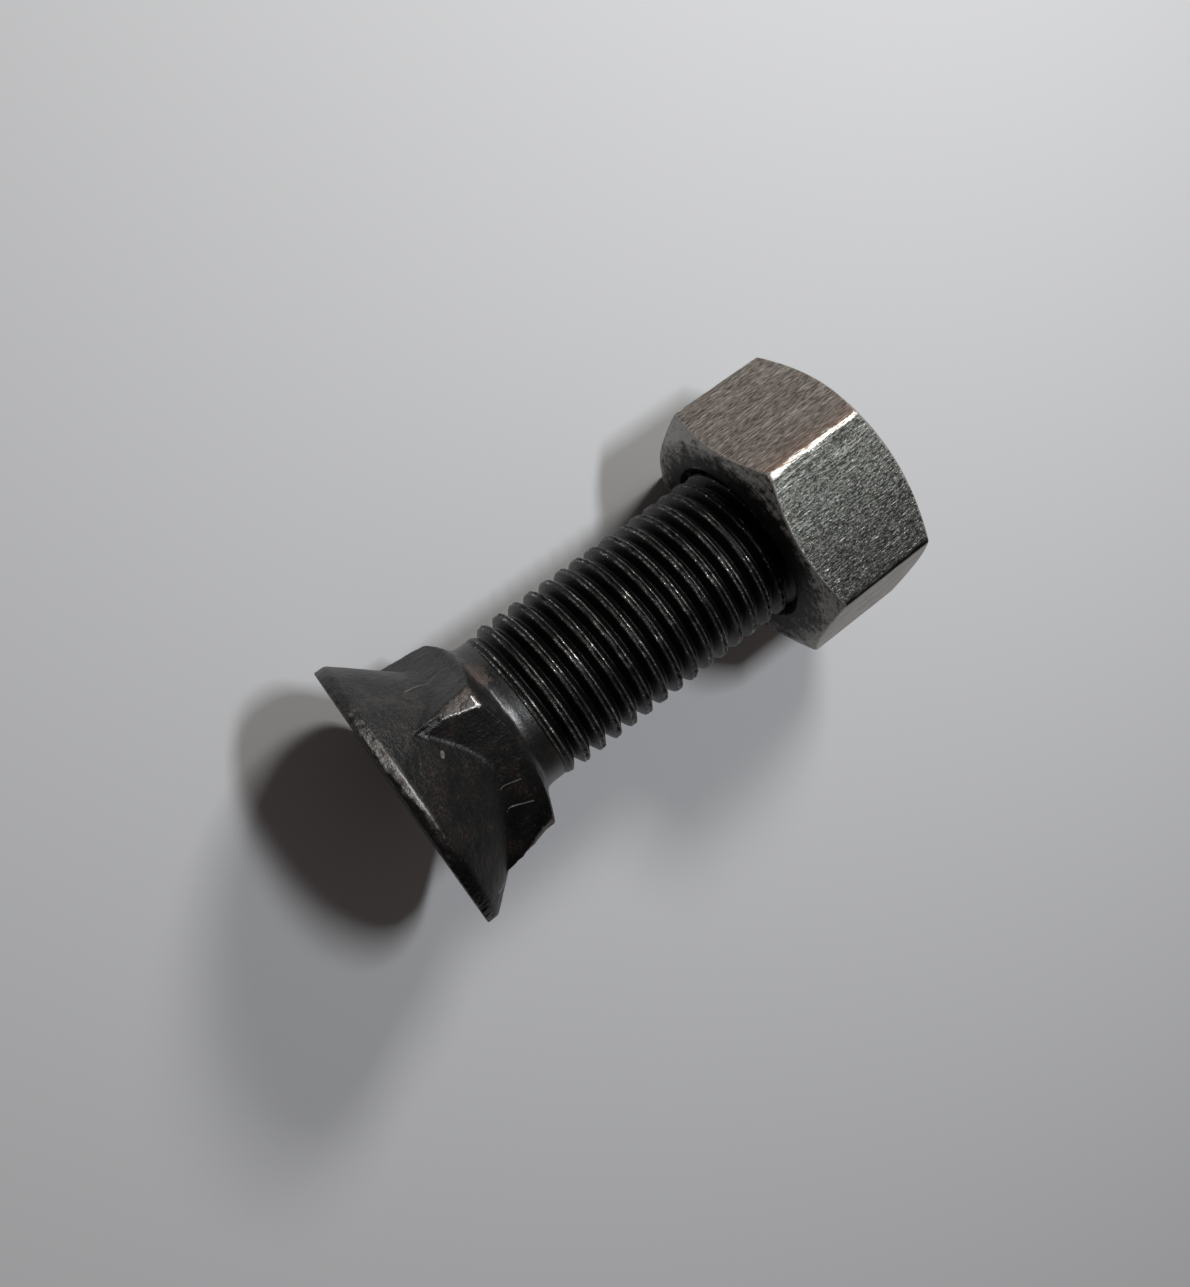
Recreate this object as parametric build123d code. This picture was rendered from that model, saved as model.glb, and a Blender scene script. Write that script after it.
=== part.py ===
from build123d import *
from math import ceil, cos, radians, sin, sqrt, tan
import os

# Plow bolt with its hex nut, lying on its side as it comes to rest.
# Origin: centre of the flat head face. +X runs along the bolt from the head to the point, +Z is up.
# One nut flat is level, so the pair lies on the head rim and on that nut's lower flat.
# The bolt's thread is a true helix in flat facets. The nut's own thread is left out: its hole runs
# over the bolt's crests.

# ---------- driving dimensions (mm) ----------
THREAD_D = 22.0        # nominal thread diameter, and the nut's hole
THREAD_PLAY = 0.1      # nut's hole to the bolt's crests, at the radius
PITCH = 2.5            # one turn of the thread, right-handed
BOLT_LENGTH = 75.0     # flat head face to the point

HEAD_D = 37.0          # countersunk head, over the rim
RIM_WIDTH = 1.35       # plain cylindrical band at the head's edge
RIM_BREAK = 0.2        # broken edge between the head face and the rim
HEAD_ANGLE = 80.0      # included angle of the countersunk cone

NECK_AF = 22.0         # square neck, across the flats
NECK_TURN = 36.0       # angle of one neck corner from straight up, towards +Y
NECK_CORNER_D = 30.9   # over the corners, where the neck rises out of the cone
NECK_TIP_D = 28.2      # over the corners, where the end chamfer starts
NECK_LENGTH = 13.3     # head face to the start of the end chamfer
NECK_END_ANGLE = 110.0  # included angle of the chamfer that ends the neck

SHANK_D = 20.7         # plain shank, under thread size so that the thread can be rolled
SHANK_FILLET = 0.7     # between the neck's end and the shank
THREAD_START = 18.3    # head face to the thread's full outside diameter
THREAD_RAMP = 0.95     # length over which the shank swells to that diameter
THREAD_FADE = 2.75     # length over which the first groove sinks to its full depth
FACET_ANGLE = 11.25    # turn that each flat facet of the thread spans, in degrees
POINT_CHAMFER = 1.7    # 45 degree chamfer at the point

NUT_AF = 33.7          # across the flats
NUT_HEIGHT = 18.0
POINT_PROUD = 2.1      # bolt's point beyond the nut
NUT_WASHER_D = 32.3    # flat circle left on both nut faces by the corner chamfer
NUT_CHAMFER_ANGLE = 30.0
NUT_MOUTH_D = 23.8     # countersunk mouths of the hole
NUT_CORNER_BREAK = 0.35  # worn radius along the six corners

# ---------- sizes that follow ----------
FLANK = tan(radians(30))
CREST_R = THREAD_D / 2 - THREAD_PLAY
ROOT_R = (THREAD_D - 1.2269 * PITCH) / 2
PITCH_R = (THREAD_D - 0.6495 * PITCH) / 2
HALF_CREST = PITCH / 4 - (CREST_R - PITCH_R) * FLANK
HALF_ROOT = PITCH / 4 - (PITCH_R - ROOT_R) * FLANK
NUT_END = BOLT_LENGTH - POINT_PROUD
NUT_SEAT = NUT_END - NUT_HEIGHT
CONE = tan(radians(HEAD_ANGLE / 2))


def turned(points, round_at=None, round_r=0):
    """Solid of revolution about X from (x, radius) points, with one corner of the outline rounded."""
    first_x, last_x = points[0][0], points[-1][0]
    outline = make_face(Polyline((first_x, 0), *points, (last_x, 0), close=True))
    if round_at:
        corner = outline.vertices().sort_by_distance((*round_at, 0))[0]
        outline = fillet(corner, round_r)
    return revolve(outline, Axis.X)


def head():
    """Countersunk head: flat face, plain rim and cone."""
    head_r = HEAD_D / 2
    return turned([
        (0, head_r - RIM_BREAK),
        (RIM_BREAK, head_r),
        (RIM_WIDTH, head_r),
        (RIM_WIDTH + (head_r - SHANK_D / 2) / CONE, SHANK_D / 2),
    ])


def neck():
    """Square neck that rises out of the cone, tapers over its corners and ends in the plain shank."""
    shank_r = SHANK_D / 2
    corner_start = RIM_WIDTH + (HEAD_D - NECK_CORNER_D) / 2 / CONE
    neck_end = NECK_LENGTH + (NECK_TIP_D - SHANK_D) / 2 / tan(radians(NECK_END_ANGLE / 2))
    envelope = turned([
        (RIM_WIDTH, NECK_CORNER_D / 2),
        (corner_start, NECK_CORNER_D / 2),
        (NECK_LENGTH, NECK_TIP_D / 2),
        (neck_end, shank_r),
        (THREAD_START - THREAD_RAMP, shank_r),
    ], round_at=(neck_end, shank_r), round_r=SHANK_FILLET)
    square = Rot(45 - NECK_TURN, 0, 0) * Box(
        THREAD_START, NECK_AF, NECK_AF, align=(Align.MIN, Align.CENTER, Align.CENTER)
    )
    return envelope & square


def thread_corners(step, per_turn):
    """Corners of crest and groove where the helix has turned by this many facets."""
    turn = radians(360 * step / per_turn - 90)
    crest = THREAD_START + PITCH * (step / per_turn - 1.5)
    groove = crest + PITCH / 2
    sunk = min(max((groove - THREAD_START) / THREAD_FADE, 0), 1)
    groove_r = CREST_R - (CREST_R - ROOT_R) * sunk
    outline = [
        (crest - HALF_CREST, CREST_R),
        (crest + HALF_CREST, CREST_R),
        (groove - HALF_ROOT, groove_r),
        (groove + HALF_ROOT, groove_r),
    ]
    return [(x, r * cos(turn), r * sin(turn)) for x, r in outline]


def threaded_bar():
    """Bar with the thread along it, longer than the bolt needs at both ends."""
    per_turn = round(360 / FACET_ANGLE)
    steps = ceil((BOLT_LENGTH - THREAD_START) / PITCH + 2) * per_turn
    corners = [thread_corners(step, per_turn) for step in range(steps + per_turn + 1)]
    faces = []

    def facet(*points):
        faces.append(Face(Wire.make_polygon(points, close=True)))

    for step in range(steps):
        a, b, c, d = corners[step]
        e = corners[step + per_turn][0]
        a2, b2, c2, d2 = corners[step + 1]
        e2 = corners[step + 1 + per_turn][0]
        facet(a, b, b2, a2)
        facet(b, c, c2)
        facet(b, c2, b2)
        facet(c, d, d2)
        facet(c, d2, c2)
        facet(d, e, e2)
        facet(d, e2, d2)
    for step in (0, steps):
        centre = (corners[step][0][0], 0, 0)
        rim = [points[0] for points in corners[step:step + per_turn + 1]]
        rim += corners[step][:0:-1]
        for point, following in zip(rim, rim[1:] + rim[:1]):
            facet(centre, point, following)
    return Solid(Shell(faces))


def rod():
    """Plain shank, then the thread, which the shank's swell and the point's chamfer cut back."""
    shank_r = SHANK_D / 2
    swell_start = THREAD_START - THREAD_RAMP
    swell = (CREST_R - shank_r) / THREAD_RAMP
    clear = THREAD_PLAY
    blank = turned([
        (swell_start, shank_r),
        (THREAD_START + clear / swell, CREST_R + clear),
        (BOLT_LENGTH - POINT_CHAMFER - clear, CREST_R + clear),
        (BOLT_LENGTH, CREST_R - POINT_CHAMFER),
    ])
    shank = turned([(RIM_WIDTH, shank_r), (swell_start, shank_r)])
    return shank + (threaded_bar() & blank)


def nut_blank():
    """Hexagon with a level flat on top, chamfered at its corners on both faces."""
    corner_r = NUT_AF / sqrt(3)
    washer_r = NUT_WASHER_D / 2
    drop = (corner_r - washer_r) * tan(radians(NUT_CHAMFER_ANGLE))
    hexagon = extrude(
        Plane.YZ.offset(NUT_SEAT) * RegularPolygon(corner_r, 6, major_radius=True), NUT_HEIGHT
    )
    hexagon = fillet(hexagon.edges().filter_by(Axis.X), NUT_CORNER_BREAK)
    return hexagon & turned([
        (NUT_SEAT, washer_r),
        (NUT_SEAT + drop, corner_r),
        (NUT_END - drop, corner_r),
        (NUT_END, washer_r),
    ])


def nut_hole():
    """Hole that runs over the bolt's crests, with a 90 degree countersink at each mouth."""
    mouth_r = NUT_MOUTH_D / 2
    hole_r = THREAD_D / 2
    sink = mouth_r - hole_r
    return turned([
        (NUT_SEAT, mouth_r),
        (NUT_SEAT + sink, hole_r),
        (NUT_END - sink, hole_r),
        (NUT_END, mouth_r),
    ])


PARTS = {
    "plow_bolt": head() + neck() + rod(),
    "hex_nut": nut_blank() - nut_hole(),
}

os.makedirs("parts", exist_ok=True)
for name, solid in PARTS.items():
    export_step(solid, f"parts/{name}.step")
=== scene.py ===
from math import cos, pi, radians, sin, sqrt, tan

import bmesh
import bpy
import numpy as np
from mathutils import Matrix, Vector, noise


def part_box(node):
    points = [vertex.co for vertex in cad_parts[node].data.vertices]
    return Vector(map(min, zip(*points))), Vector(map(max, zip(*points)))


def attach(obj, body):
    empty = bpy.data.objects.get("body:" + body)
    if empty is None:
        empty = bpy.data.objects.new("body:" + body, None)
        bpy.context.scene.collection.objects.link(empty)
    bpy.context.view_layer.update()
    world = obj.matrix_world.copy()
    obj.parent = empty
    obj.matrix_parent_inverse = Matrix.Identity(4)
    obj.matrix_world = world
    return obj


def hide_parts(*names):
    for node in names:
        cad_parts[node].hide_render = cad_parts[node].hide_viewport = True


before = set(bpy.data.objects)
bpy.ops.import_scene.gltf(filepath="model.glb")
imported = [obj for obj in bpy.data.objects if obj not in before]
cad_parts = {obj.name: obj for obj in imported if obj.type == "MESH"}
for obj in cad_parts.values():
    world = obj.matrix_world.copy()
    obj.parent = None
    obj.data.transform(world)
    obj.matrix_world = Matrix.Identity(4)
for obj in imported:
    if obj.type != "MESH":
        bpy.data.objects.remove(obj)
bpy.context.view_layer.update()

# ---- The forging ------------------------------------------------------------------------------
# Head, square neck and plain shank of the bolt are hot-forged in one blow of the die from a steel
# rod, then blackened. The neck is a square whose corners the die rounds off; it rises out of the
# countersunk cone, a little off the shank's centre, and stops in a steep shoulder on the shank.

MM = 0.001
bolt_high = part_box("plow_bolt")[1]
HEAD_R = bolt_high[2]
RIM_WIDTH = 1.35 * MM
RIM_ROUND = 0.25 * MM
FACE_BREAK = 0.12 * MM
FACE_BREAK_SLOPE = 1.5
CONE_PROUD = 0.12 * MM
CONE_SLOPE = tan(radians(40))
NECK_HALF = 11.0 * MM
NECK_TURN = radians(36)
NECK_RISE = 6.65 * MM
NECK_LENGTH = 13.3 * MM
NECK_CORNER_R = 15.45 * MM
NECK_TIP_R = 14.1 * MM
NECK_TAPER = (NECK_CORNER_R - NECK_TIP_R) / (NECK_LENGTH - NECK_RISE)
NECK_SHOULDER = tan(radians(64))
NECK_EDGE_ROUND = 0.22 * MM
NECK_END_ROUND = 0.35 * MM
NECK_FOOT_FILLET = 0.35 * MM
SQUARE_BLEND = 0.008
LAND_UNEVEN = 0.15 * MM
OFF_CENTRE = 0.4 * MM
OFF_CENTRE_FADE = 1.8 * MM
SHANK_R = 10.35 * MM
SHANK_SWELL = 0.14 * MM
SWELL_FADE = (14.9 * MM, 16.5 * MM)
SHANK_FILLET = 0.9 * MM
SHANK_END = 17.9 * MM
TIP_R = 5 * MM
THREAD_X = 17.35 * MM

# What the die and later blows leave on the surface, and how finely the mesh follows it.
DIE_WAVES = 0.09 * MM
DIE_GRAIN = 0.03 * MM
DIE_SUNK = 0.05 * MM
CHIP_DEPTH = 0.30 * MM
CHIPPED_SIDE = radians(-20)
# Depth at which a nick's painted shade turns black.
NICK_SHADE_DEPTH = 0.16 * MM
BURR_HEIGHT = 0.22 * MM
BURR_TURN = -51
AROUND = 540
FACE_RINGS = 26
SIDE_RINGS = 100

# Nicks in the rim: angle from the top in degrees, then station, width, length and depth in mm.
RIM_NICKS = [
    (24, 0.0, 1.1, 0.35, 0.22),
    (14, 0.0, 0.8, 0.3, 0.35),
    (8, 0.1, 1.3, 0.4, 0.42),
    (1, 0.0, 1.0, 0.35, 0.35),
    (-6, 0.0, 0.7, 0.3, 0.28),
    (-13, 0.1, 0.9, 0.3, 0.2),
    (-40, 0.0, 0.8, 0.3, 0.22),
    (60, 0.0, 0.9, 0.3, 0.18),
    (112, 0.2, 0.8, 0.4, 0.2),
    (171, 0.0, 1.2, 0.35, 0.28),
    (208, 1.1, 0.9, 0.4, 0.2),
    (262, 0.0, 1.0, 0.4, 0.25),
]

# Stretches of the rim that are rubbed to metal: middle and half width in degrees, and how much.
RIM_RUBS = [(27, 44, 1.0), (150, 40, 0.5), (232, 30, 0.65), (300, 26, 0.4)]


def smooth_max(a, b, blend):
    """The larger of two heights, with the crease between them rounded over the blend."""
    share = np.clip(0.5 + 0.5 * (a - b) / blend, 0, 1)
    return b + (a - b) * share + blend * share * (1 - share)


def smooth_min(a, b, blend):
    return -smooth_max(-a, -b, blend)


def ramp(values, zero_at, one_at):
    """Even rise from 0 to 1 between two places, flat beyond them."""
    return np.clip((values - zero_at) / (one_at - zero_at), 0, 1)


def hump(offset, half_width):
    """1 where the offset is nothing, fading on both sides."""
    return np.exp(-(offset / half_width) ** 2)


def turn_from(angle, middle):
    """Degrees round the axis from a place, which is given in degrees from the top."""
    return np.degrees((angle - radians(middle) + pi) % (2 * pi) - pi)


def lumps(points, size, seed, octaves=3):
    """Even, repeatable unevenness between about -1 and 1 at each point; size is a lump's width."""
    shift = Vector((seed * 3.7, seed * 1.3, seed * 2.1))
    heights = [
        noise.fractal(Vector(point) / size + shift, 1.0, 2.0, octaves, noise_basis="PERLIN_ORIGINAL")
        for point in points.reshape(-1, 3)
    ]
    return np.array(heights).reshape(points.shape[:-1])


def about_axis(x, radius, angle):
    """Points round the bolt's axis: the angle is from straight up towards +Y."""
    return np.stack([x, radius * np.sin(angle), radius * np.cos(angle)], axis=-1)


def finished(name, mesh):
    """Object of a closed mesh, its normals outwards and its faces smooth."""
    shape = bmesh.new()
    shape.from_mesh(mesh)
    bmesh.ops.recalc_face_normals(shape, faces=shape.faces)
    shape.to_mesh(mesh)
    shape.free()
    mesh.shade_smooth()
    piece = bpy.data.objects.new(name, mesh)
    bpy.context.scene.collection.objects.link(piece)
    return piece


def closed_rings(name, rings, loop):
    """Object through equal rings of points. A loop of rings joins up; otherwise both ends get caps."""
    rows, count = rings.shape[:2]
    points = rings.reshape(-1, 3)
    start = np.arange(rows if loop else rows - 1)[:, None] * count
    here = np.arange(count)[None, :]
    after = (here + 1) % count
    above = (start + count) % len(points)
    quads = np.stack([start + here, start + after, above + after, above + here], axis=-1)
    faces = quads.reshape(-1, 4).tolist()
    if not loop:
        for end, first in enumerate((0, (rows - 1) * count)):
            hub = len(points) + end
            faces += [[first + i, first + (i + 1) % count, hub] for i in range(count)]
        points = np.concatenate([points, [rings[0].mean(axis=0), rings[-1].mean(axis=0)]])
    mesh = bpy.data.meshes.new(name)
    mesh.from_pydata(points.tolist(), [], faces)
    return finished(name, mesh)


def mark(piece, name, values):
    """Stores one number per point of the mesh for its material to read."""
    layer = piece.data.attributes.new(name, "FLOAT", "POINT")
    layer.data.foreach_set("value", np.asarray(values, np.float32))


def forged_radius(x, angle):
    """Outline of head, neck and shank, and the marks that the neck's own outlines place."""
    cone = HEAD_R + CONE_PROUD - (x - RIM_WIDTH) * CONE_SLOPE
    face_break = HEAD_R - FACE_BREAK + x * FACE_BREAK_SLOPE
    rim = smooth_min(smooth_min(HEAD_R, cone, RIM_ROUND), face_break, FACE_BREAK)
    corner = angle - NECK_TURN - pi / 4
    square = NECK_HALF / smooth_max(np.abs(np.cos(corner)), np.abs(np.sin(corner)), SQUARE_BLEND)
    taper = NECK_CORNER_R - (x - NECK_RISE) * NECK_TAPER
    shoulder = NECK_TIP_R - (x - NECK_LENGTH) * NECK_SHOULDER
    uneven = lumps(about_axis(x, 13 * MM, angle) / MM, 1.5, 9) * LAND_UNEVEN
    land = smooth_min(taper, shoulder, NECK_END_ROUND) + uneven
    neck = smooth_min(square, land, NECK_EDGE_ROUND)
    down = ramp(x, *SWELL_FADE)
    shank = SHANK_R + SHANK_SWELL * (1 - down * down * (3 - 2 * down))
    radius = smooth_max(smooth_max(neck, rim, NECK_FOOT_FILLET), shank, SHANK_FILLET)
    return radius, neck_marks(x / MM, angle, (square - land) / MM, (neck - rim) / MM)


def neck_marks(x, angle, past_edge, above_cone):
    """Where the neck is worn: bright along the near corner's lower edge and paler on its land. A
    painted highlight lies on the rounded end of the near corner and along the neck's foot, and
    painted shade in a crease and on the shoulder. The station and both distances are in mm, and
    turn is in degrees from the near corner."""
    turn = turn_from(angle, np.degrees(NECK_TURN))
    standing = ramp(above_cone, 0, 0.25)
    near_side = ramp(turn, 2.5, -0.5) * (turn > -14)
    far_corners = 0.55 * (np.abs(turn) > 30)
    lengthwise = ramp(x, 7.8, 9.0) * ramp(x, 13.6, 13.1)
    along_edge = hump(past_edge, 0.13) * standing * (near_side + far_corners) * lengthwise
    # Painted highlight on the rounded end of the near corner.
    corner_end_highlight = hump(x - 12.85, 0.16) * standing * (turn > -7) * (turn < 0.5)
    neck_end = NECK_LENGTH / MM
    return {
        "edge": np.clip(along_edge + corner_end_highlight, 0, 1),
        "patch": ramp(past_edge, 0, 0.3) * standing * ramp(x, 7.5, 10.0) * ramp(x, 13.9, 13.4),
        "foot_highlight": hump(above_cone, 0.10) * ramp(np.abs(turn + 18), 32, 0) * (x > 5),
        # Painted shade in the crease and on the steep shoulder.
        "crease": hump(turn + 1.2, 1.1) * ramp(x, 5.0, 5.6) * ramp(x, 9.0, 8.2),
        "step": ramp(x, neck_end, neck_end + 0.25) * ramp(x, neck_end + 1.5, neck_end + 1.15),
        "browned": hump(np.degrees(angle) - 52, 13) * hump(x - 15.5, 1.1),
    }


def rim_wear(x, angle):
    """The rim is rubbed to metal where the bolt has lain against others, most of all near the top.
    The station is in mm."""
    worn = np.zeros_like(angle)
    for middle, half, share in RIM_RUBS:
        turn = turn_from(angle, middle)
        below = 0.2 + 0.8 * ramp(turn, 0, -22)
        across_rim = ramp(x, below, below + 0.18) * ramp(x, 1.62, 1.42)
        worn = np.maximum(worn, share * np.clip(1.25 - np.abs(turn) / half, 0, 1) * across_rim)
    return worn


def struck_surface(x, angle, radius):
    """What the die and later blows add to the outline, in metres, and how dark the painted shade
    in the nicks is.
    """
    spots = about_axis(x, radius, angle) / MM
    swell = lumps(spots, 5.0, 1) * DIE_WAVES + lumps(spots, 1.3, 2) * DIE_GRAIN - DIE_SUNK
    before_thread = ramp(x, SHANK_END - 1.2 * MM, SHANK_END - 3.2 * MM)
    swell *= before_thread * np.clip(x / (1.5 * MM), 0.25, 1)
    chipped = np.clip(lumps(spots, 0.8, 6, 2), 0, 1) * ramp(x / MM, 1.3, 0.6)
    upper_side = np.cos(angle - CHIPPED_SIDE) > 0.3
    swell -= CHIP_DEPTH * chipped * np.where(upper_side, 1.0, 0.35)
    nicks = np.zeros_like(swell)
    for at_angle, station, wide, long, deep in RIM_NICKS:
        aside = np.radians(turn_from(angle, at_angle)) * HEAD_R / MM
        nicks += deep * MM * hump(aside, wide) * hump(x / MM - station, long)
    aside = np.radians(turn_from(angle, BURR_TURN)) * NECK_TIP_R / MM
    burr = BURR_HEIGHT * hump(aside, 0.45) * hump((x - NECK_LENGTH) / MM, 0.28)
    return swell - nicks + burr, np.clip(nicks / NICK_SHADE_DEPTH, 0, 1)


def forging():
    """Rings of points from the head's face to a tip hidden inside the thread, with their marks."""
    angles = np.linspace(0, 2 * pi, AROUND, endpoint=False)
    rim_x = np.array([0, 0.03, 0.07, 0.12, 0.2, 0.35, 0.55, 0.75, 0.95, 1.1, 1.2, 1.3, 1.4, 1.5, 1.65])
    stations = np.concatenate([rim_x * MM, np.linspace(1.85 * MM, SHANK_END, SIDE_RINGS)])
    x, angle = np.meshgrid(stations, angles, indexing="ij")
    radius, marks = forged_radius(x, angle)
    swell, marks["nick_shade"] = struck_surface(x, angle, radius)
    marks["rubbed"] = rim_wear(x / MM, angle)
    radius = radius + swell
    face_r = np.linspace(0.04, 0.995, FACE_RINGS)[:, None] * radius[0]
    face = about_axis(np.zeros_like(face_r), face_r, angles + 0 * face_r)
    tip = about_axis(np.full(AROUND, SHANK_END), TIP_R, angles)
    rings = np.concatenate([face, about_axis(x, radius, angle), tip[None]])
    rings[..., 1] -= OFF_CENTRE * ramp(rings[..., 0], NECK_LENGTH + OFF_CENTRE_FADE, NECK_LENGTH)
    piece = closed_rings("bolt_forging", rings, loop=False)
    for name, values in marks.items():
        spread = np.zeros(len(piece.data.vertices))
        spread[face[..., 0].size:][:values.size] = values.ravel()
        mark(piece, name, spread)
    return piece


bolt_forging = forging()
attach(bolt_forging, "bolt")
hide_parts("plow_bolt")


class Field:
    """A number or colour that varies over a surface: one socket of a node tree. Sums and products
    of fields and plain numbers become Math nodes."""

    def __init__(self, tree, socket):
        self.tree = tree
        self.socket = socket

    def __add__(self, other):
        return calc("ADD", self, other)

    def __sub__(self, other):
        return calc("SUBTRACT", self, other)

    def __rsub__(self, other):
        return calc("SUBTRACT", other, self)

    def __mul__(self, other):
        return calc("MULTIPLY", self, other)

    def __truediv__(self, other):
        return calc("DIVIDE", self, other)


def feed(socket, value):
    """Links a field to a socket, or sets the socket to a plain value."""
    if isinstance(value, Field):
        value.tree.links.new(value.socket, socket)
    else:
        socket.default_value = value


def calc(operation, *values):
    """Adds one Math node to the fields' tree. Each value is a field or a number."""
    tree = next(value.tree for value in values if isinstance(value, Field))
    node = tree.nodes.new("ShaderNodeMath")
    node.operation = operation
    for socket, value in zip(node.inputs, values):
        feed(socket, value)
    return Field(tree, node.outputs[0])


def larger(first, second):
    """The larger of two fields."""
    return calc("MAXIMUM", first, second)


def within(field, low, high):
    """The field, held between two limits."""
    return calc("MINIMUM", larger(field, low), high)


def rise(field, low, high):
    """0 below low, 1 above high, and eased between."""
    node = field.tree.nodes.new("ShaderNodeMapRange")
    node.interpolation_type = "SMOOTHSTEP"
    feed(node.inputs["Value"], field)
    node.inputs["From Min"].default_value = low
    node.inputs["From Max"].default_value = high
    return Field(field.tree, node.outputs["Result"])


def level(share, first, second):
    """Number between two numbers."""
    return calc("MULTIPLY_ADD", share, second - first, first)


def tint(share, first, second):
    """Colour between two colours. Each is a field or three numbers."""
    node = share.tree.nodes.new("ShaderNodeMix")
    node.data_type = "RGBA"
    feed(node.inputs[0], share)
    sockets = [socket for socket in node.inputs if socket.type == "RGBA"]
    for socket, colour in zip(sockets, (first, second)):
        feed(socket, colour if isinstance(colour, Field) else (*colour, 1))
    return Field(share.tree, [socket for socket in node.outputs if socket.type == "RGBA"][0])


def stored(tree, name):
    """A mark of the piece's own mesh."""
    node = tree.nodes.new("ShaderNodeAttribute")
    node.attribute_name = name
    return Field(tree, node.outputs["Fac"])


def place(tree):
    """Position along the axis, across it and up."""
    split = tree.nodes.new("ShaderNodeSeparateXYZ")
    tree.links.new(tree.nodes.new("ShaderNodeTexCoord").outputs["Object"], split.inputs[0])
    return [Field(tree, socket) for socket in split.outputs]


def grain(tree, size, stretch=(1, 1, 1), seed=0, detail=3, rough=0.55, warp=0):
    """Noise on the piece itself. Size is a grain's width in metres and stretch its length each way."""
    fit = tree.nodes.new("ShaderNodeMapping")
    fit.inputs["Scale"].default_value = [1 / (size * long) for long in stretch]
    fit.inputs["Location"].default_value = (seed * 7.3, seed * 3.1, seed * 5.7)
    tree.links.new(tree.nodes.new("ShaderNodeTexCoord").outputs["Object"], fit.inputs["Vector"])
    cloud = tree.nodes.new("ShaderNodeTexNoise")
    for name, value in (("Scale", 1), ("Detail", detail), ("Roughness", rough), ("Distortion", warp)):
        cloud.inputs[name].default_value = value
    tree.links.new(fit.outputs[0], cloud.inputs["Vector"])
    return Field(tree, cloud.outputs["Fac"])


def new_material(name):
    """Empty material and its tree of nodes."""
    material = bpy.data.materials.new(name)
    material.use_nodes = True
    return material, material.node_tree


def coated(material, colour, roughness, metallic, height, depth, gloss=0.5):
    """Sets up the surface from its colour, roughness, share of bare metal, relief and gloss."""
    surface = material.node_tree.nodes["Principled BSDF"]
    feed(surface.inputs["Base Color"], colour)
    feed(surface.inputs["Roughness"], roughness)
    feed(surface.inputs["Metallic"], metallic)
    feed(surface.inputs["Specular IOR Level"], gloss)
    bump = material.node_tree.nodes.new("ShaderNodeBump")
    bump.inputs["Strength"].default_value = 1.0
    bump.inputs["Distance"].default_value = depth
    feed(bump.inputs["Height"], height)
    feed(surface.inputs["Normal"], Field(material.node_tree, bump.outputs[0]))
    return material


# Scratches: each end's station in mm and angle from the top in degrees, then the width in mm.
NECK_SCRATCHES = [
    ((12.4, -21.8), (9.7, -17.4), 0.08),
    ((12.3, -37.0), (9.3, -31.6), 0.08),
    ((6.25, 19.2), (6.5, 20.9), 0.24),
    ((7.2, 61.0), (11.4, 73.0), 0.06),
    ((5.1, -62.0), (2.9, -50.0), 0.10),
]

# Colours of the forging, from its scale to the bare steel under it, and of its painted highlights
# and shade.
BLACK_SCALE = (0.0022, 0.0022, 0.0023)
GREY_SCALE = (0.0058, 0.0052, 0.0047)
SCALE_SPECKS = (0.017, 0.0145, 0.0128)
SHANK_SHEEN_GREY = (0.0085, 0.009, 0.0095)
RUST = (0.024, 0.016, 0.0125)
SHANK_RUST = (0.052, 0.034, 0.026)
THIN_SCALE = (0.025, 0.0195, 0.016)
SCALE_CHIPS = (0.003, 0.003, 0.003)
RUBBED_BROWN = (0.060, 0.043, 0.037)
RIM_BROWN = (0.085, 0.058, 0.050)
RIM_PORES = (0.05, 0.042, 0.038)
RIM_METAL = (0.24, 0.23, 0.22)
FOOT_HIGHLIGHT_GREY = (0.030, 0.033, 0.037)
PAINTED_SHADE_BLACK = (0.0035, 0.0033, 0.0032)
SCRATCHED_METAL = (0.34, 0.325, 0.305)


def scratch(tree, start, end, width):
    """1 on a straight scratch on the neck, 0 beside it."""
    x, y, z = place(tree)
    lengthwise = x - start[0] * MM
    around = (calc("ARCTAN2", y, z) - radians(start[1])) * NECK_HALF
    reach_x = (end[0] - start[0]) * MM
    reach_round = radians(end[1] - start[1]) * NECK_HALF
    square = reach_x ** 2 + reach_round ** 2
    share = within(lengthwise * (reach_x / square) + around * (reach_round / square), 0.0, 1.0)
    off_x = lengthwise - share * reach_x
    off_round = around - share * reach_round
    apart = calc("SQRT", off_x * off_x + off_round * off_round)
    return 1.0 - rise(apart, width * MM * 0.3, width * MM)


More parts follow.
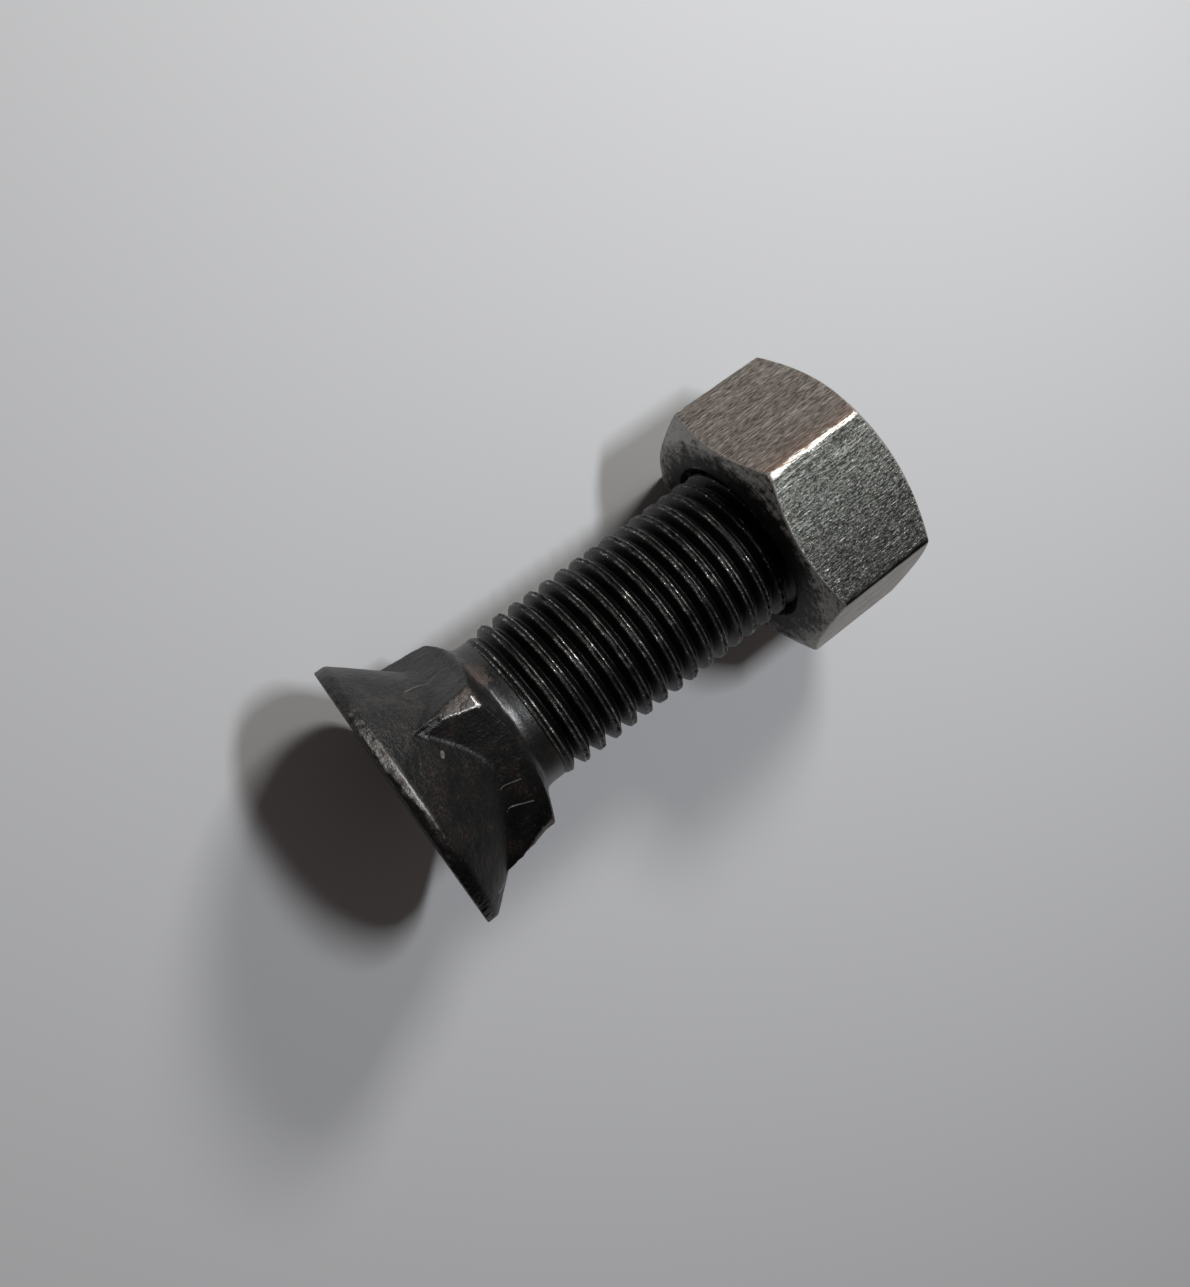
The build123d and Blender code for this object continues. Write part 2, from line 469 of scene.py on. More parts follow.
def forged_black():
    """Black scale, brown where it is thin, rubbed to metal on the rim and the near neck corner.
    Painted highlights lie on the shank, along the neck's foot and at the near corner's end, and
    painted shade in the crease, the nicks and on the shoulder.
    """
    material, tree = new_material("forged_black")
    x, y, z = place(tree)
    cloud = grain(tree, 3.0 * MM, seed=1)
    speck = grain(tree, 0.32 * MM, seed=2, detail=4)
    pores = grain(tree, 0.14 * MM, seed=5, detail=2)
    drawn = grain(tree, 0.5 * MM, stretch=(6, 1, 1), seed=11)
    flake = grain(tree, 0.55 * MM, seed=12, detail=1)
    chips = grain(tree, 0.8 * MM, seed=13, detail=4)
    rub = stored(tree, "rubbed")
    crease = stored(tree, "crease")
    on_shank = rise(x, 14.1 * MM, 14.7 * MM)
    near_side = rise(y, 4 * MM, 13 * MM)
    browned = rise(stored(tree, "browned") + (speck * 1.6 - 0.8), 0.30, 0.65)

    scale = tint(rise(cloud, 0.35, 0.65), BLACK_SCALE, GREY_SCALE)
    scale = tint(rise(speck, 0.56, 0.74), scale, SCALE_SPECKS)
    # Painted highlight: the shank is painted a lighter, bluish grey towards +Y.
    scale = tint(on_shank * rise(y, -4 * MM, 6 * MM), scale, SHANK_SHEEN_GREY)
    scale = tint(rise(cloud, 0.54, 0.66) * rise(speck, 0.48, 0.62), scale, RUST)
    scale = tint(browned, scale, SHANK_RUST)
    scale = tint(near_side * rise(cloud * 0.5 + drawn * 0.5, 0.48, 0.60), scale, THIN_SCALE)
    scale = tint(near_side * rise(chips, 0.60, 0.64), scale, SCALE_CHIPS)
    scale = tint(stored(tree, "patch") * rise(drawn, 0.3, 0.6), scale, RUBBED_BROWN)

    rubbed = rise(chips * 0.75 + speck * 0.35 + rub * 0.5, 0.88, 1.02) * rise(rub, 0.05, 0.3)
    rim_metal = tint(rise(rub, 0.45, 0.95), RIM_BROWN, tint(pores, RIM_PORES, RIM_METAL))
    colour = tint(rubbed, scale, rim_metal)
    # Painted highlight: a thin bluish grey line along the neck's foot, mostly below the near corner.
    colour = tint(stored(tree, "foot_highlight") * rise(drawn, 0.4, 0.62), colour, FOOT_HIGHLIGHT_GREY)
    # Painted shade: black in the crease, on the steep shoulder and in the rim's nicks.
    dark = larger(larger(crease, stored(tree, "step") * 0.85), stored(tree, "nick_shade"))
    colour = tint(dark, colour, PAINTED_SHADE_BLACK)

    # Bare metal along the near corner's lower edge, and a painted highlight at the corner's end.
    bare = rise(stored(tree, "edge") * (speck + 0.35), 0.42, 0.62)
    for start, end, width in NECK_SCRATCHES:
        bare = larger(bare, scratch(tree, start, end, width) * rise(pores, 0.25, 0.5))
    bare = larger(bare, rise(flake, 0.80, 0.82) * 0.7)
    colour = tint(bare, colour, SCRATCHED_METAL)

    metal = larger(rubbed * 0.6, bare)
    roughness = level(speck, 0.27, 0.50) - on_shank * 0.04 + browned * 0.22
    height = speck * 0.5 + pores * 0.25 + drawn * 0.5 + chips * 0.9 - crease * 1.2
    height = height * level(rise(y, 6 * MM, 11 * MM), 0.5, 1.7) * level(on_shank, 1.0, 0.4)
    oily = larger(rise(y, -10 * MM, 3 * MM), on_shank)
    gloss = level(oily, 0.08, 0.48) + on_shank * 0.25
    return coated(material, colour, roughness, metal, height, 0.16 * MM, gloss)


bolt_forging.data.materials.append(forged_black())

# ---- The rolled thread ------------------------------------------------------------------------
# The thread is rolled cold onto the shank: flat dies press the grooves in and the crests well up,
# which leaves them rounded, with a fine fold along the top. It runs out over a turn at the shank
# and is cut back by the chamfer at the point.

PITCH = 2.5 * MM
CREST_R = 10.9 * MM
ROOT_R = 9.466 * MM
MIDDLE_R = 10.188 * MM
POINT_X = bolt_high[0]
POINT_CHAMFER = 1.7 * MM
THREAD_ZERO = 18.3 * MM
SEAM_GAP = 0.002 * MM

# The strip's run-in is in turns. Fold and dents are measured from the crest's middle, where the
# groove's middle is 1.
RUN_IN = 1.05
FADE_EASE = 0.2
FOLD_WIDTH = 0.17
DENT_WIDTH = 1.1 * MM
DENT_FLOOR = 0.46
DENT_SPREAD = 2.2

# Oil, rubbed crests and painted glints: the rubbed lines fade out between two stations, next to
# the nut.
CREST_RUB_ENDS = (47.5 * MM, 53.5 * MM)
GROOVE_OIL = (0.0022, 0.0022, 0.0023)
CREST_GREY = (0.135, 0.128, 0.116)
THREAD_RUST = (0.020, 0.013, 0.009)
PAINTED_CREST_GLINT = (0.70, 0.69, 0.66)


def thread_tree(name, sizes, ends):
    """Geometry Nodes: a strip one pitch wide wound on a helix, its edges merged turn to turn. The
    strip starts RUN_IN turns early and stops as late, so that the ends can cut it square."""
    tree = bpy.data.node_groups.new(name, "GeometryNodeTree")
    tree.interface.new_socket("Geometry", in_out="OUTPUT", socket_type="NodeSocketGeometry")
    for label, value in sizes.items():
        kind = "NodeSocketMaterial" if label == "Material" else "NodeSocketFloat"
        socket = tree.interface.new_socket(label, in_out="INPUT", socket_type=kind)
        if label != "Material":
            socket.default_value = value
    outputs = tree.nodes.new("NodeGroupInput").outputs
    given = {label: Field(tree, outputs[label]) for label in sizes}
    start, end, pitch = given["Start"], given["End"], given["Pitch"]
    link = tree.links.new

    grid = tree.nodes.new("GeometryNodeMeshGrid")
    turns = calc("CEIL", (end - start) / pitch + 2 * RUN_IN)
    grid.inputs["Size X"].default_value = 1
    grid.inputs["Size Y"].default_value = 1
    feed(grid.inputs["Vertices X"], turns * given["Steps per turn"] + 1.0)
    feed(grid.inputs["Vertices Y"], given["Steps per pitch"])

    strip = tree.nodes.new("ShaderNodeSeparateXYZ")
    link(tree.nodes.new("GeometryNodeInputPosition").outputs[0], strip.inputs[0])
    turn = (Field(tree, strip.outputs["X"]) + 0.5) * turns
    across = Field(tree, strip.outputs["Y"]) + 0.5
    helix_x = turn * pitch + (start - pitch * RUN_IN)
    angle = (helix_x - given["Groove at"]) / pitch * (2 * pi) - pi / 2
    x = across * pitch + helix_x

    off_crest = calc("ABSOLUTE", across * 2.0 - 1.0)
    flank = pitch * (sqrt(3) / 2) * (0.5 - off_crest) + given["Middle radius"]
    topped = calc("SMOOTH_MIN", flank, given["Outer radius"], given["Rounding"])
    radius = calc("SMOOTH_MAX", topped, given["Inner radius"], given["Rounding"])
    fold = calc("SMOOTH_MIN", off_crest / FOLD_WIDTH, 1.0, 0.5)
    radius = radius + given["Fold"] * (fold - 1.0)

    def spot_at(x, radius):
        """Point of the helix at a station and a radius."""
        spot = tree.nodes.new("ShaderNodeCombineXYZ")
        feed(spot.inputs["X"], x)
        feed(spot.inputs["Y"], radius * calc("COSINE", angle))
        feed(spot.inputs["Z"], radius * calc("SINE", angle))
        return spot.outputs[0]

    dents = tree.nodes.new("ShaderNodeTexNoise")
    dents.inputs["Scale"].default_value = 1 / DENT_WIDTH
    dents.inputs["Detail"].default_value = 2
    link(spot_at(x, radius), dents.inputs["Vector"])
    dent = larger(Field(tree, dents.outputs[0]) - DENT_FLOOR, 0.0)
    on_crest = larger(1.0 - off_crest * DENT_SPREAD, 0.0)
    radius = radius - dent * on_crest * given["Dents"]
    radius, shown_x = ends(given, x, radius)

    store = tree.nodes.new("GeometryNodeStoreNamedAttribute")
    store.inputs["Name"].default_value = "across"
    link(grid.outputs["Mesh"], store.inputs["Geometry"])
    feed(store.inputs["Value"], off_crest)
    move = tree.nodes.new("GeometryNodeSetPosition")
    link(store.outputs["Geometry"], move.inputs["Geometry"])
    link(spot_at(shown_x, radius), move.inputs["Position"])
    merge = tree.nodes.new("GeometryNodeMergeByDistance")
    merge.inputs["Distance"].default_value = SEAM_GAP
    realize = tree.nodes.new("GeometryNodeRealizeInstances")
    coat = tree.nodes.new("GeometryNodeSetMaterial")
    link(move.outputs[0], merge.inputs[0])
    link(merge.outputs[0], realize.inputs[0])
    link(realize.outputs[0], coat.inputs[0])
    feed(coat.inputs["Material"], given["Material"])
    link(coat.outputs[0], tree.nodes.new("NodeGroupOutput").inputs[0])
    return tree


def bolt_ends(given, x, radius):
    """The thread fades in from the blank's radius and the point's chamfer cuts it back."""
    share = (x - given["Fade from"]) / given["Fade length"]
    ease = calc("SMOOTH_MIN", calc("SMOOTH_MAX", share, 0.0, FADE_EASE), 1.0, FADE_EASE)
    radius = ease * (radius - given["Blank radius"]) + given["Blank radius"]
    chamfer = given["Point radius"] + (given["End"] - x)
    radius = calc("SMOOTH_MIN", radius, chamfer, given["Rounding"])
    radius = radius - larger(given["Start"] - x, 0.0)
    return radius, within(x, given["Start"], given["End"])


def grown(name, tree, sizes, ring):
    """Object that the tree makes with these sizes. Its two open ends are closed: each with a flat,
    or joined to each other as a ring."""
    seedling = bpy.data.objects.new(name + "_seedling", bpy.data.meshes.new(name + "_seedling"))
    bpy.context.scene.collection.objects.link(seedling)
    nodes = seedling.modifiers.new("grow", "NODES")
    nodes.node_group = tree
    for item in tree.interface.items_tree:
        if item.in_out == "INPUT":
            nodes[item.identifier] = sizes[item.name]
    ready = seedling.evaluated_get(bpy.context.evaluated_depsgraph_get())
    mesh = bpy.data.meshes.new_from_object(ready)
    seedling.modifiers.remove(nodes)
    bpy.data.objects.remove(seedling)

    shape = bmesh.new()
    shape.from_mesh(mesh)
    open_edges = [edge for edge in shape.edges if edge.is_boundary]
    if ring:
        bmesh.ops.bridge_loops(shape, edges=open_edges)
    else:
        bmesh.ops.holes_fill(shape, edges=open_edges, sides=0)
    bmesh.ops.triangulate(shape, faces=[face for face in shape.faces if len(face.verts) > 4])
    shape.to_mesh(mesh)
    shape.free()
    return finished(name, mesh)


def oiled_thread(name, dark, light):
    """Black oil in the grooves; the crests' two lips are rubbed to thin, broken grey lines, with
    painted glints on them.
    """
    material, tree = new_material(name)
    across = stored(tree, "across")
    speck = grain(tree, 0.20 * MM, seed=8)
    cloud = grain(tree, 2.6 * MM, seed=9, detail=2)
    bead = grain(tree, 0.34 * MM, stretch=(0.6, 1, 1), seed=14, detail=1)
    line = across + (cloud * 0.10 - 0.05)
    lip = rise(line, 0.15, 0.21) * (1.0 - rise(line, 0.31, 0.39))
    broken = rise(bead * 0.6 + cloud * 0.7, 0.58, 0.74)
    short_of_nut = 1.0 - rise(place(tree)[0], *CREST_RUB_ENDS)
    rubbed = lip * (broken * 0.88 + 0.12) * (short_of_nut * 0.8 + 0.2)
    # Painted glints: near-white specks on the rubbed lips.
    crest_glint = lip * rise(bead * (cloud + 0.5), 0.68, 0.73)
    colour = tint(rubbed, dark, light)
    colour = tint(rise(across, 0.3, 0.6) * rise(speck, 0.66, 0.72), colour, THREAD_RUST)
    colour = tint(crest_glint, colour, PAINTED_CREST_GLINT)
    metal = larger(rubbed, crest_glint) * 0.8
    height = speck + bead * 0.6
    return coated(material, colour, level(speck, 0.24, 0.44), metal, height, 0.07 * MM, gloss=0.18)


bolt_thread_sizes = {
    "Start": THREAD_X - 0.15 * MM,
    "End": POINT_X,
    "Pitch": PITCH,
    "Groove at": THREAD_ZERO,
    "Outer radius": CREST_R,
    "Inner radius": ROOT_R,
    "Middle radius": MIDDLE_R + 0.20 * MM,
    "Rounding": 0.12 * MM,
    "Fold": 0.11 * MM,
    "Dents": 1.5 * MM,
    "Blank radius": SHANK_R,
    "Fade from": THREAD_X + 0.2 * MM,
    "Fade length": 2.6 * MM,
    "Point radius": CREST_R - POINT_CHAMFER,
    "Steps per turn": 160,
    "Steps per pitch": 21,
    "Material": oiled_thread("oiled_thread", GROOVE_OIL, CREST_GREY),
}
bolt_tree = thread_tree("bolt thread", bolt_thread_sizes, bolt_ends)
bolt_thread = grown("bolt_thread", bolt_tree, bolt_thread_sizes, ring=False)
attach(bolt_thread, "bolt")

# ---- The nut ----------------------------------------------------------------------------------
# The nut is cold-formed from bar: a hexagon, chamfered at its corners on both faces and bare of any
# finish. Its flats keep the marks of the tools, and the edge between the two upper flats is worn
# bright, with a painted highlight on it. The arcs where the flats meet the chamfers carry painted
# highlights.

nut_low, nut_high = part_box("hex_nut")
NUT_HALF = nut_high[2]
NUT_SEAT, NUT_END = nut_low[0], nut_high[0]
NUT_CORNER_ROUND = 0.5 * MM
NUT_ARC_ROUND = 0.15 * MM
NUT_WASHER_R = 16.15 * MM
NUT_MOUTH_R = 11.9 * MM
NUT_LIP_R = 10.9 * MM
NUT_WALL_R = 11.4 * MM
NUT_WALL_CLEAR = 0.1 * MM
NUT_SLOPE = tan(radians(30))
FLAT_TURN = radians(60)
FLAT_REACH = 0.25 * MM
WEAR_WANDER = 0.22

# Points round one flat, closer than even at its middle, and rings from mouth to mouth.
FLAT_POINTS = 80
MIDDLE_SPACING = 0.72
MOUTH_RINGS, WASHER_RINGS, SLOPE_RINGS, FLAT_RINGS, WALL_RINGS = 5, 10, 8, 60, 4


def from_flat(angle):
    """Angle from the middle of the nearest flat, up to half a flat's turn either way."""
    return (angle + FLAT_TURN / 2) % FLAT_TURN - FLAT_TURN / 2


def nut_rings():
    """Rings from the lip of the near mouth over both faces and the flats, and back through the hole."""
    spread = np.linspace(-1, 1, FLAT_POINTS + 1)[:-1]
    spread = spread * MIDDLE_SPACING + spread ** 3 * (1 - MIDDLE_SPACING)
    angles = np.concatenate([FLAT_TURN * flat + FLAT_TURN / 2 * spread for flat in range(6)])
    aside = np.abs(from_flat(angles))
    hexagon = smooth_min(NUT_HALF / np.cos(aside), NUT_HALF / np.cos(FLAT_TURN - aside), NUT_CORNER_ROUND)
    drop = (hexagon - NUT_WASHER_R) * NUT_SLOPE
    sink = NUT_MOUTH_R - NUT_LIP_R
    face = [(sink * (1 - share), NUT_LIP_R + sink * share) for share in np.linspace(0, 1, MOUTH_RINGS)]
    for share in np.linspace(0.04, 1, WASHER_RINGS):
        face.append((0.0, NUT_MOUTH_R + (NUT_WASHER_R - NUT_MOUTH_R) * share))
    for share in np.linspace(0.06, 0.97, SLOPE_RINGS):
        face.append((drop * share, NUT_WASHER_R + (hexagon - NUT_WASHER_R) * share))

    low, high = NUT_SEAT + drop + NUT_ARC_ROUND, NUT_END - drop - NUT_ARC_ROUND
    outline = [(NUT_SEAT + depth, radius) for depth, radius in face]
    outline += [(low + (high - low) * share, hexagon) for share in np.linspace(0, 1, FLAT_RINGS)]
    outline += [(NUT_END - depth, radius) for depth, radius in reversed(face)]
    inside = sink + NUT_WALL_CLEAR
    outline += [(x, NUT_WALL_R) for x in np.linspace(NUT_END - inside, NUT_SEAT + inside, WALL_RINGS)]
    return np.array([about_axis(x + 0 * angles, radius + 0 * angles, angles) for x, radius in outline])


def dressed_nut():
    """The nut with its worn, hammered and brushed places marked for its material."""
    piece = closed_rings("nut_body", nut_rings(), loop=True)
    points = np.array([vertex.co for vertex in piece.data.vertices])
    angle = np.arctan2(points[:, 1], points[:, 2])
    turn = np.degrees(angle)
    radius = np.hypot(points[:, 1], points[:, 2])

    # The flats are numbered from the top one, 0, and a corner is known by its angle from the top.
    flat = np.round(turn / 60)
    at_corner = np.round((turn + 30) / 60) * 60 - 30
    on_flat = (np.abs(radius - NUT_HALF / np.cos(from_flat(angle))) < FLAT_REACH).astype(float)
    to_corner = (FLAT_TURN / 2 - np.abs(from_flat(angle))) * radius / MM

    # The corner between the two upper flats is worn bright, with a painted highlight on it; the one
    # at -30 degrees gets a black line.
    beside = (angle - np.radians(at_corner)) * radius / MM + lumps(points / MM, 2.2, 8) * WEAR_WANDER
    wear = np.select([at_corner == 30, at_corner == -30, at_corner == 90], [1.0, -1.0, 0.35], 0.5)
    mark(piece, "worn", on_flat * wear * hump(beside, np.where(beside < 0, 0.60, 0.36)))
    depth = np.minimum(points[:, 0] - NUT_SEAT, NUT_END - points[:, 0])
    # Painted highlight along the arcs where the flats meet the chamfers, strongest on the upper flats.
    arc_highlight = hump((depth - (radius - NUT_WASHER_R) * NUT_SLOPE) / MM, 0.2)
    upper = [flat == 0, flat == 1, flat == -1]
    mark(piece, "arc_highlight", on_flat * arc_highlight * np.select(upper, [0.95, 0.75, 0.8], 0.7))
    mark(piece, "copper", on_flat * (flat == 1) * (at_corner == 30) * np.exp(-to_corner / 1.1))
    mark(piece, "stroked", on_flat * (flat == 0) * (at_corner == 30) * np.exp(-to_corner / 2.4))
    mark(piece, "hammered", on_flat * np.select(upper, [1.0, 0.0, 0.1], 0.45))
    mark(piece, "brushed", on_flat * np.select([*upper, np.abs(flat) == 3], [0.0, 1.0, 0.8, 0.7], 0.0))
    mark(piece, "pale", on_flat * (flat == -1))
    mark(piece, "flat", on_flat)

    # Soot from the oiled thread lies round the hole and under the top, and is scuffed off outside.
    radius = radius / MM
    inner = np.clip(1.3 - (radius - 11.5) / 4.2, 0, 1)
    slope = ramp(radius, 15.9, 16.6)
    near_top = hump(turn - 15, 38) * (points[:, 0] < NUT_SEAT + 4 * MM) * (1 - 0.6 * slope)
    scuffed = (hump(turn - 88, 42) + 0.8 * hump(turn + 72, 16)) * ramp(radius, 13.8, 15.3)
    mark(piece, "soot", np.clip(inner + 0.75 * near_top - 0.55 * scuffed - 0.15 * slope, -1, 1.2))
    return piece


# Colours of the bare steel, by the tool that left it, of the wear and soot on it, and of its
# painted highlights.
SOOT = (0.012, 0.011, 0.010)
FACE_GREY = (0.33, 0.318, 0.293)
TURNED_LINES = (0.30, 0.29, 0.27)
BRUSHED_DARK = (0.085, 0.068, 0.058)
BRUSHED_LIGHT = (0.40, 0.352, 0.31)
DRAWN_DARK = (0.085, 0.066, 0.056)
DRAWN_LIGHT = (0.50, 0.455, 0.41)
PALE_STEEL = (0.66, 0.64, 0.60)
HAIR_LIGHT = (0.52, 0.48, 0.43)
HAIR_DARK = (0.06, 0.048, 0.042)
COPPER = (0.34, 0.20, 0.145)
PITS_SHADED = (0.022, 0.023, 0.020)
PITS_LIT = (0.036, 0.038, 0.033)
HAMMERED_SHADED = (0.105, 0.107, 0.096)
HAMMERED_LIT = (0.200, 0.203, 0.185)
GLINTS = (0.40, 0.405, 0.385)
HAMMERED_HAIRS = (0.36, 0.365, 0.345)
STROKE_LIGHT = (0.36, 0.36, 0.335)
STROKE_DARK = (0.045, 0.045, 0.040)
PLAIN_DARK = (0.035, 0.034, 0.030)
PLAIN_LIGHT = (0.15, 0.146, 0.132)
CORNER_LINE_BLACK = (0.010, 0.0095, 0.009)
ARC_HIGHLIGHT_GREY = (0.46, 0.45, 0.42)
WORN_EDGE_HIGHLIGHT = (0.80, 0.77, 0.72)
TURNED_WIDTH = 0.16 * MM
TURNED_BREAKS = 5.0


def turned_grain(tree):
    """Fine rings and arcs about the axis, as a facing tool leaves them."""
    x, y, z = place(tree)
    polar = tree.nodes.new("ShaderNodeCombineXYZ")
    feed(polar.inputs["X"], calc("SQRT", y * y + z * z) / TURNED_WIDTH)
    feed(polar.inputs["Y"], calc("ARCTAN2", y, z) * TURNED_BREAKS)
    turned = tree.nodes.new("ShaderNodeTexNoise")
    turned.inputs["Scale"].default_value = 1.0
    tree.links.new(polar.outputs[0], turned.inputs["Vector"])
    return Field(tree, turned.outputs["Fac"])


def bare_steel():
    """Bare nut steel: hammered grain on the upper flat, fine lines along the bar on the others."""
    material, tree = new_material("bare_steel")
    hammered, brushed, on_flat = [stored(tree, name) for name in ("hammered", "brushed", "flat")]
    worn, stroked = stored(tree, "worn"), stored(tree, "stroked")
    cloud = grain(tree, 3.2 * MM, seed=3, detail=2)
    blots = grain(tree, 1.3 * MM, seed=15, detail=5, rough=0.72)
    pits = grain(tree, 0.36 * MM, stretch=(1.8, 0.8, 1.0), seed=4, detail=2)
    lines = grain(tree, 0.12 * MM, stretch=(8, 1, 1), seed=6, detail=1)
    speck = grain(tree, 0.22 * MM, seed=7, detail=2)
    hairs = grain(tree, 0.11 * MM, stretch=(16, 1, 1), seed=16, detail=0, warp=0.5)
    drawn = grain(tree, 0.42 * MM, stretch=(13, 1, 1), seed=17, detail=2)
    turned = turned_grain(tree)

    mottled = blots * 0.7 + turned * 0.35 - stored(tree, "soot") * 0.13
    faced = tint(rise(mottled, 0.42, 0.60), SOOT, FACE_GREY)
    faced = tint(rise(turned, 0.64, 0.70) * rise(blots, 0.5, 0.6), faced, TURNED_LINES)

    streaks = lines * 0.8 + speck * 0.18 + cloud * 0.10
    lined = tint(rise(streaks, 0.40, 0.68), BRUSHED_DARK, BRUSHED_LIGHT)
    lined = tint(level(rise(drawn, 0.34, 0.54), 0.38, 0.0), lined, DRAWN_DARK)
    lined = tint(rise(drawn, 0.58, 0.68) * 0.35, lined, DRAWN_LIGHT)
    pale = stored(tree, "pale") * level(rise(drawn, 0.38, 0.50), 0.15, 0.75)
    lined = tint(pale, lined, PALE_STEEL)
    lined = tint(rise(hairs, 0.70, 0.76), lined, HAIR_LIGHT)
    lined = tint(rise(1.0 - hairs, 0.72, 0.78), lined, HAIR_DARK)
    lined = tint(stored(tree, "copper") * 0.65, lined, COPPER)

    lit = rise(place(tree)[1], -8 * MM, 6 * MM)
    in_pits = tint(lit, PITS_SHADED, PITS_LIT)
    on_top = tint(lit, HAMMERED_SHADED, HAMMERED_LIT)
    struck = tint(rise(pits * 0.5 + speck * 0.5, 0.40, 0.62), in_pits, on_top)
    struck = tint(rise(pits, 0.60, 0.66) * rise(speck, 0.55, 0.62), struck, GLINTS)
    struck = tint(rise(hairs, 0.74, 0.80), struck, HAMMERED_HAIRS)
    struck = tint(stroked * rise(drawn, 0.52, 0.62), struck, STROKE_LIGHT)
    struck = tint(stroked * (1.0 - rise(drawn, 0.36, 0.45)), struck, STROKE_DARK)

    colour = tint(brushed, tint(hammered, faced, struck), lined)
    plain = on_flat * (1.0 - hammered) * (1.0 - brushed)
    colour = tint(plain, colour, tint(rise(streaks, 0.42, 0.66), PLAIN_DARK, PLAIN_LIGHT))
    ragged = (lines - 0.5) * 1.3 + (speck - 0.5) * 1.2
    # Worn edge with a painted highlight: the corner between the two upper flats is painted near white.
    bright = rise(worn + ragged + (drawn - 0.5) * 2.6, 0.68, 0.95)
    # Painted highlight: the arcs are painted lighter and less metallic.
    arc_highlight = rise(stored(tree, "arc_highlight") + ragged, 0.40, 0.80) * 0.7
    # A black line along the corner at -30 degrees.
    colour = tint(rise(worn * -1.0, 0.3, 0.8), colour, CORNER_LINE_BLACK)
    colour = tint(arc_highlight, colour, ARC_HIGHLIGHT_GREY)
    colour = tint(bright, colour, WORN_EDGE_HIGHLIGHT)

    metal = level(on_flat, 0.5, 0.85) - arc_highlight * 0.4
    height = pits * hammered * 0.55 + (lines + speck) * 0.3 + blots * 0.4
    return coated(material, colour, level(speck, 0.34, 0.58), metal, height, 0.12 * MM)


nut_body = dressed_nut()
nut_body.data.materials.append(bare_steel())
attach(nut_body, "nut")
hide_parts("hex_nut")

# ---- The nut's thread -------------------------------------------------------------------------
# The thread is tapped into the nut, in step with the bolt's. The countersinks at both mouths cut
# its first and last turns back, and it joins the nut's wall behind the lips of the mouths.

NUT_BORE_R = 9.647 * MM
NUT_GROOVE_R = 11.1 * MM
NUT_THREAD_INSET = 0.75 * MM
TAPPED_DARK = (0.006, 0.006, 0.006)
TAPPED_GREY = (0.03, 0.03, 0.03)


def nut_ends(given, x, radius):
    """The mouth cones cut the thread back at both ends, where it passes behind the nut's lip."""
    near_mouth = given["Mouth radius"] - (x - given["Seat"])
    far_mouth = given["Mouth radius"] - (given["Far face"] - x)
    radius = larger(radius, larger(near_mouth, far_mouth))
    radius = calc("MINIMUM", radius, given["Behind lip"])
    outside = larger(given["Start"] - x, x - given["End"])
    return radius + larger(outside, 0.0) * 0.03, within(x, given["Start"], given["End"])


nut_thread_sizes = {
    "Start": NUT_SEAT + NUT_THREAD_INSET,
    "End": NUT_END - NUT_THREAD_INSET,
    "Pitch": PITCH,
    "Groove at": THREAD_ZERO,
    "Outer radius": NUT_GROOVE_R,
    "Inner radius": NUT_BORE_R,
    "Middle radius": MIDDLE_R + 0.31 * MM,
    "Rounding": 0.08 * MM,
    "Fold": 0.0,
    "Dents": 0.0,
    "Mouth radius": NUT_MOUTH_R + 0.03 * MM,
    "Seat": NUT_SEAT,
    "Far face": NUT_END,
    "Behind lip": 11.2 * MM,
    "Steps per turn": 96,
    "Steps per pitch": 17,
    "Material": oiled_thread("tapped_thread", TAPPED_DARK, TAPPED_GREY),
}
nut_tree = thread_tree("nut thread", nut_thread_sizes, nut_ends)
nut_thread = grown("nut_thread", nut_tree, nut_thread_sizes, ring=True)
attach(nut_thread, "nut")

# ---- Floor, light and camera ------------------------------------------------------------------
# The pair lies on its head rim and on the far end of the nut's lower flat, so the floor leans a
# little against the bolt's axis. Daylight falls softly from beyond the nut.

FLOOR_REACH = 0.6
FLOOR_GREY = (0.6, 0.605, 0.615, 1)

rest_low = Vector((RIM_WIDTH, 0, -HEAD_R))
rest_high = Vector((NUT_END - 0.4 * MM, 0, -NUT_HALF))
lean = (rest_high.z - rest_low.z) / (rest_high.x - rest_low.x)
corners = [(x * FLOOR_REACH, y * FLOOR_REACH) for x, y in ((-1, -1), (1, -1), (1, 1), (-1, 1))]
floor_mesh = bpy.data.meshes.new("floor")
floor_mesh.from_pydata([
    (x, y, rest_low.z + lean * (x - rest_low.x)) for x, y in corners
], [], [(0, 1, 2, 3)])
floor = bpy.data.objects.new("floor", floor_mesh)
bpy.context.scene.collection.objects.link(floor)
floor_paper, floor_tree = new_material("floor_paper")
floor_tree.nodes["Principled BSDF"].inputs["Base Color"].default_value = FLOOR_GREY
floor_tree.nodes["Principled BSDF"].inputs["Roughness"].default_value = 0.9
floor.data.materials.append(floor_paper)

# Both windows face a point beyond the head, so that their light is strongest at that end.
LIT_MIDDLE = Vector((36, 0, 0)) * MM
LIT_TOWARDS = Vector((-31, 44, 0)) * MM
WINDOW_LIGHT = (1.0, 0.985, 0.955)
HIGH_LIGHT = (0.94, 0.965, 1.0)
ROOM_LIGHT = (1.0, 0.87, 0.82, 1)


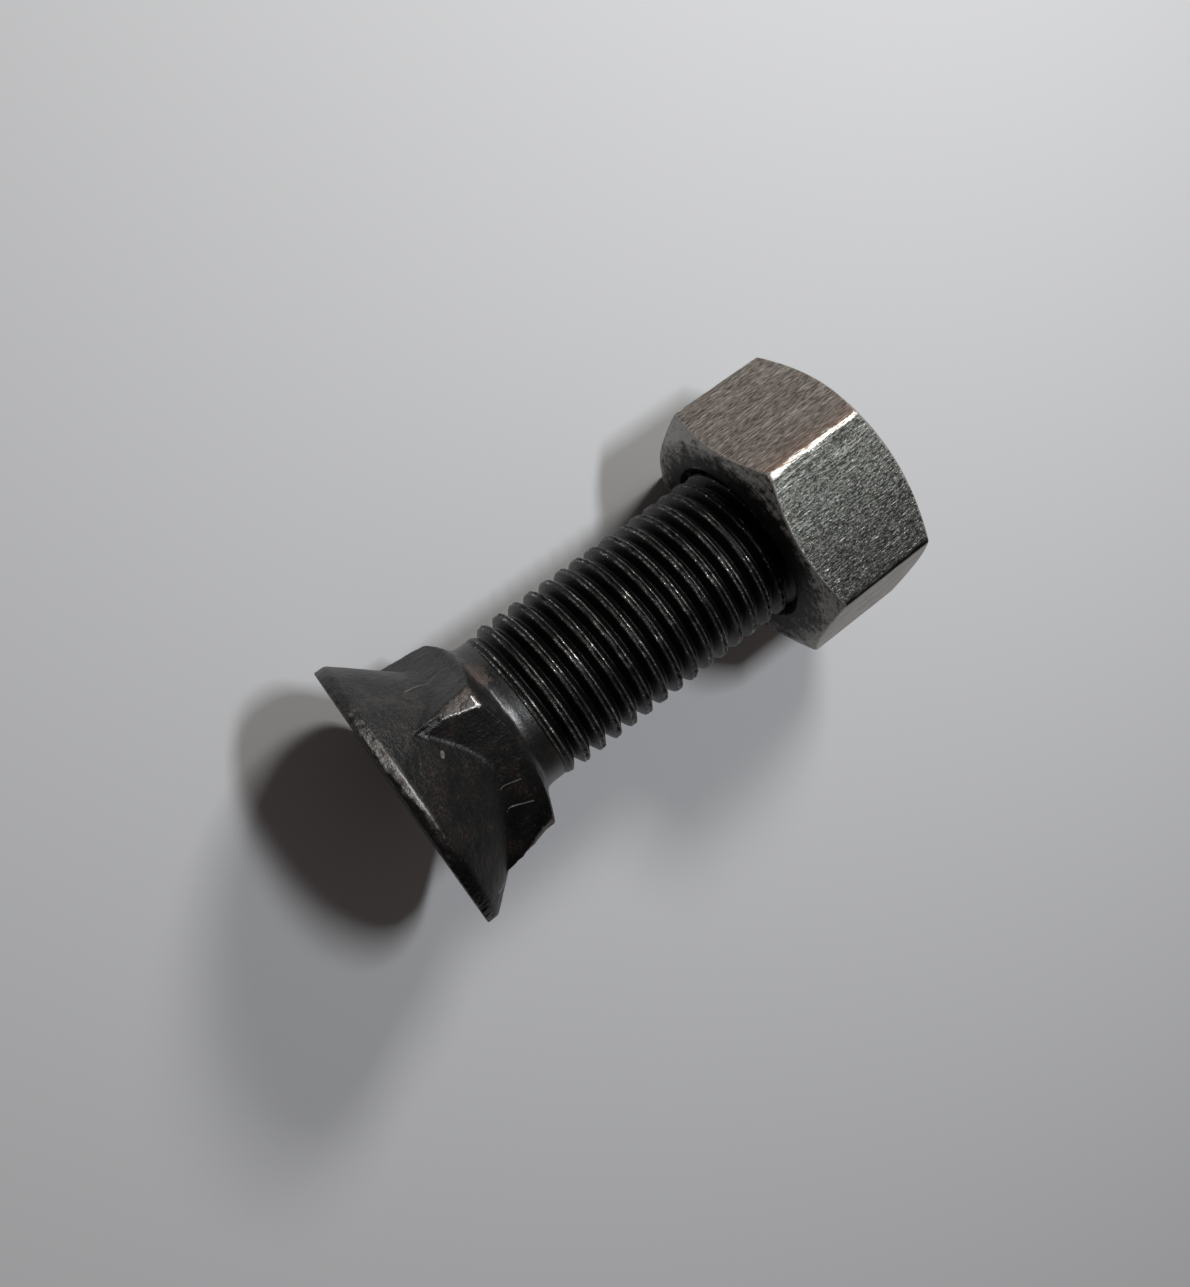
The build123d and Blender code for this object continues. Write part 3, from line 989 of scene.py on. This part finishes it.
def turned_to(side, up, back, spot):
    """Place and turn of a lamp or camera from its three own directions."""
    return Matrix.Translation(spot) @ Matrix((side, up, back)).transposed().to_4x4()


def soft_lamp(name, toward, distance, along, width, height, power, colour):
    """Window of light at a distance from the pair's middle. Its height runs along a direction."""
    light = bpy.data.lights.new(name, "AREA")
    light.shape = "RECTANGLE"
    light.size = width
    light.size_y = height
    light.energy = power
    light.color = colour
    spot = LIT_MIDDLE + Vector(toward).normalized() * distance
    back = (spot - LIT_TOWARDS).normalized()
    side = Vector(along).cross(back).normalized()
    lamp = bpy.data.objects.new(name, light)
    lamp.matrix_world = turned_to(side, back.cross(side), back, spot)
    bpy.context.scene.collection.objects.link(lamp)


soft_lamp(
    "window", toward=(0.568, 0.514, 0.643), distance=0.34, along=(0, 0, 1),
    width=0.075, height=0.055, power=0.63, colour=WINDOW_LIGHT,
)
soft_lamp(
    "high_window", toward=(0.366, 0.135, 0.920), distance=0.42, along=(0.557, 0.83, 0),
    width=0.028, height=0.085, power=0.92, colour=HIGH_LIGHT,
)

world = bpy.data.worlds.new("world")
bpy.context.scene.world = world
world.use_nodes = True
world.node_tree.nodes["Background"].inputs["Color"].default_value = ROOM_LIGHT
world.node_tree.nodes["Background"].inputs["Strength"].default_value = 0.068

# The camera looks down on the near side of the neck, rolled so that the bolt climbs to the right.
camera = bpy.data.cameras.new("camera")
camera.sensor_width = 36.0
camera.lens = 34.34
camera.shift_y = -0.1166
camera.clip_start = 0.01
eye = Vector((-0.84, 47.87, 149.78)) * MM
aim = Vector((41.63, 16.72, 0.0)) * MM
roll = radians(-31.82)
gaze = (aim - eye).normalized()
level_side = gaze.cross(Vector((0, 1, 0))).normalized()
level_up = level_side.cross(gaze)
side = level_side * cos(roll) + level_up * sin(roll)
up = level_up * cos(roll) - level_side * sin(roll)
viewpoint = bpy.data.objects.new("camera", camera)
viewpoint.matrix_world = turned_to(side, up, -gaze, eye)
bpy.context.scene.collection.objects.link(viewpoint)
bpy.context.scene.camera = viewpoint
bpy.context.scene.view_settings.view_transform = "Standard"
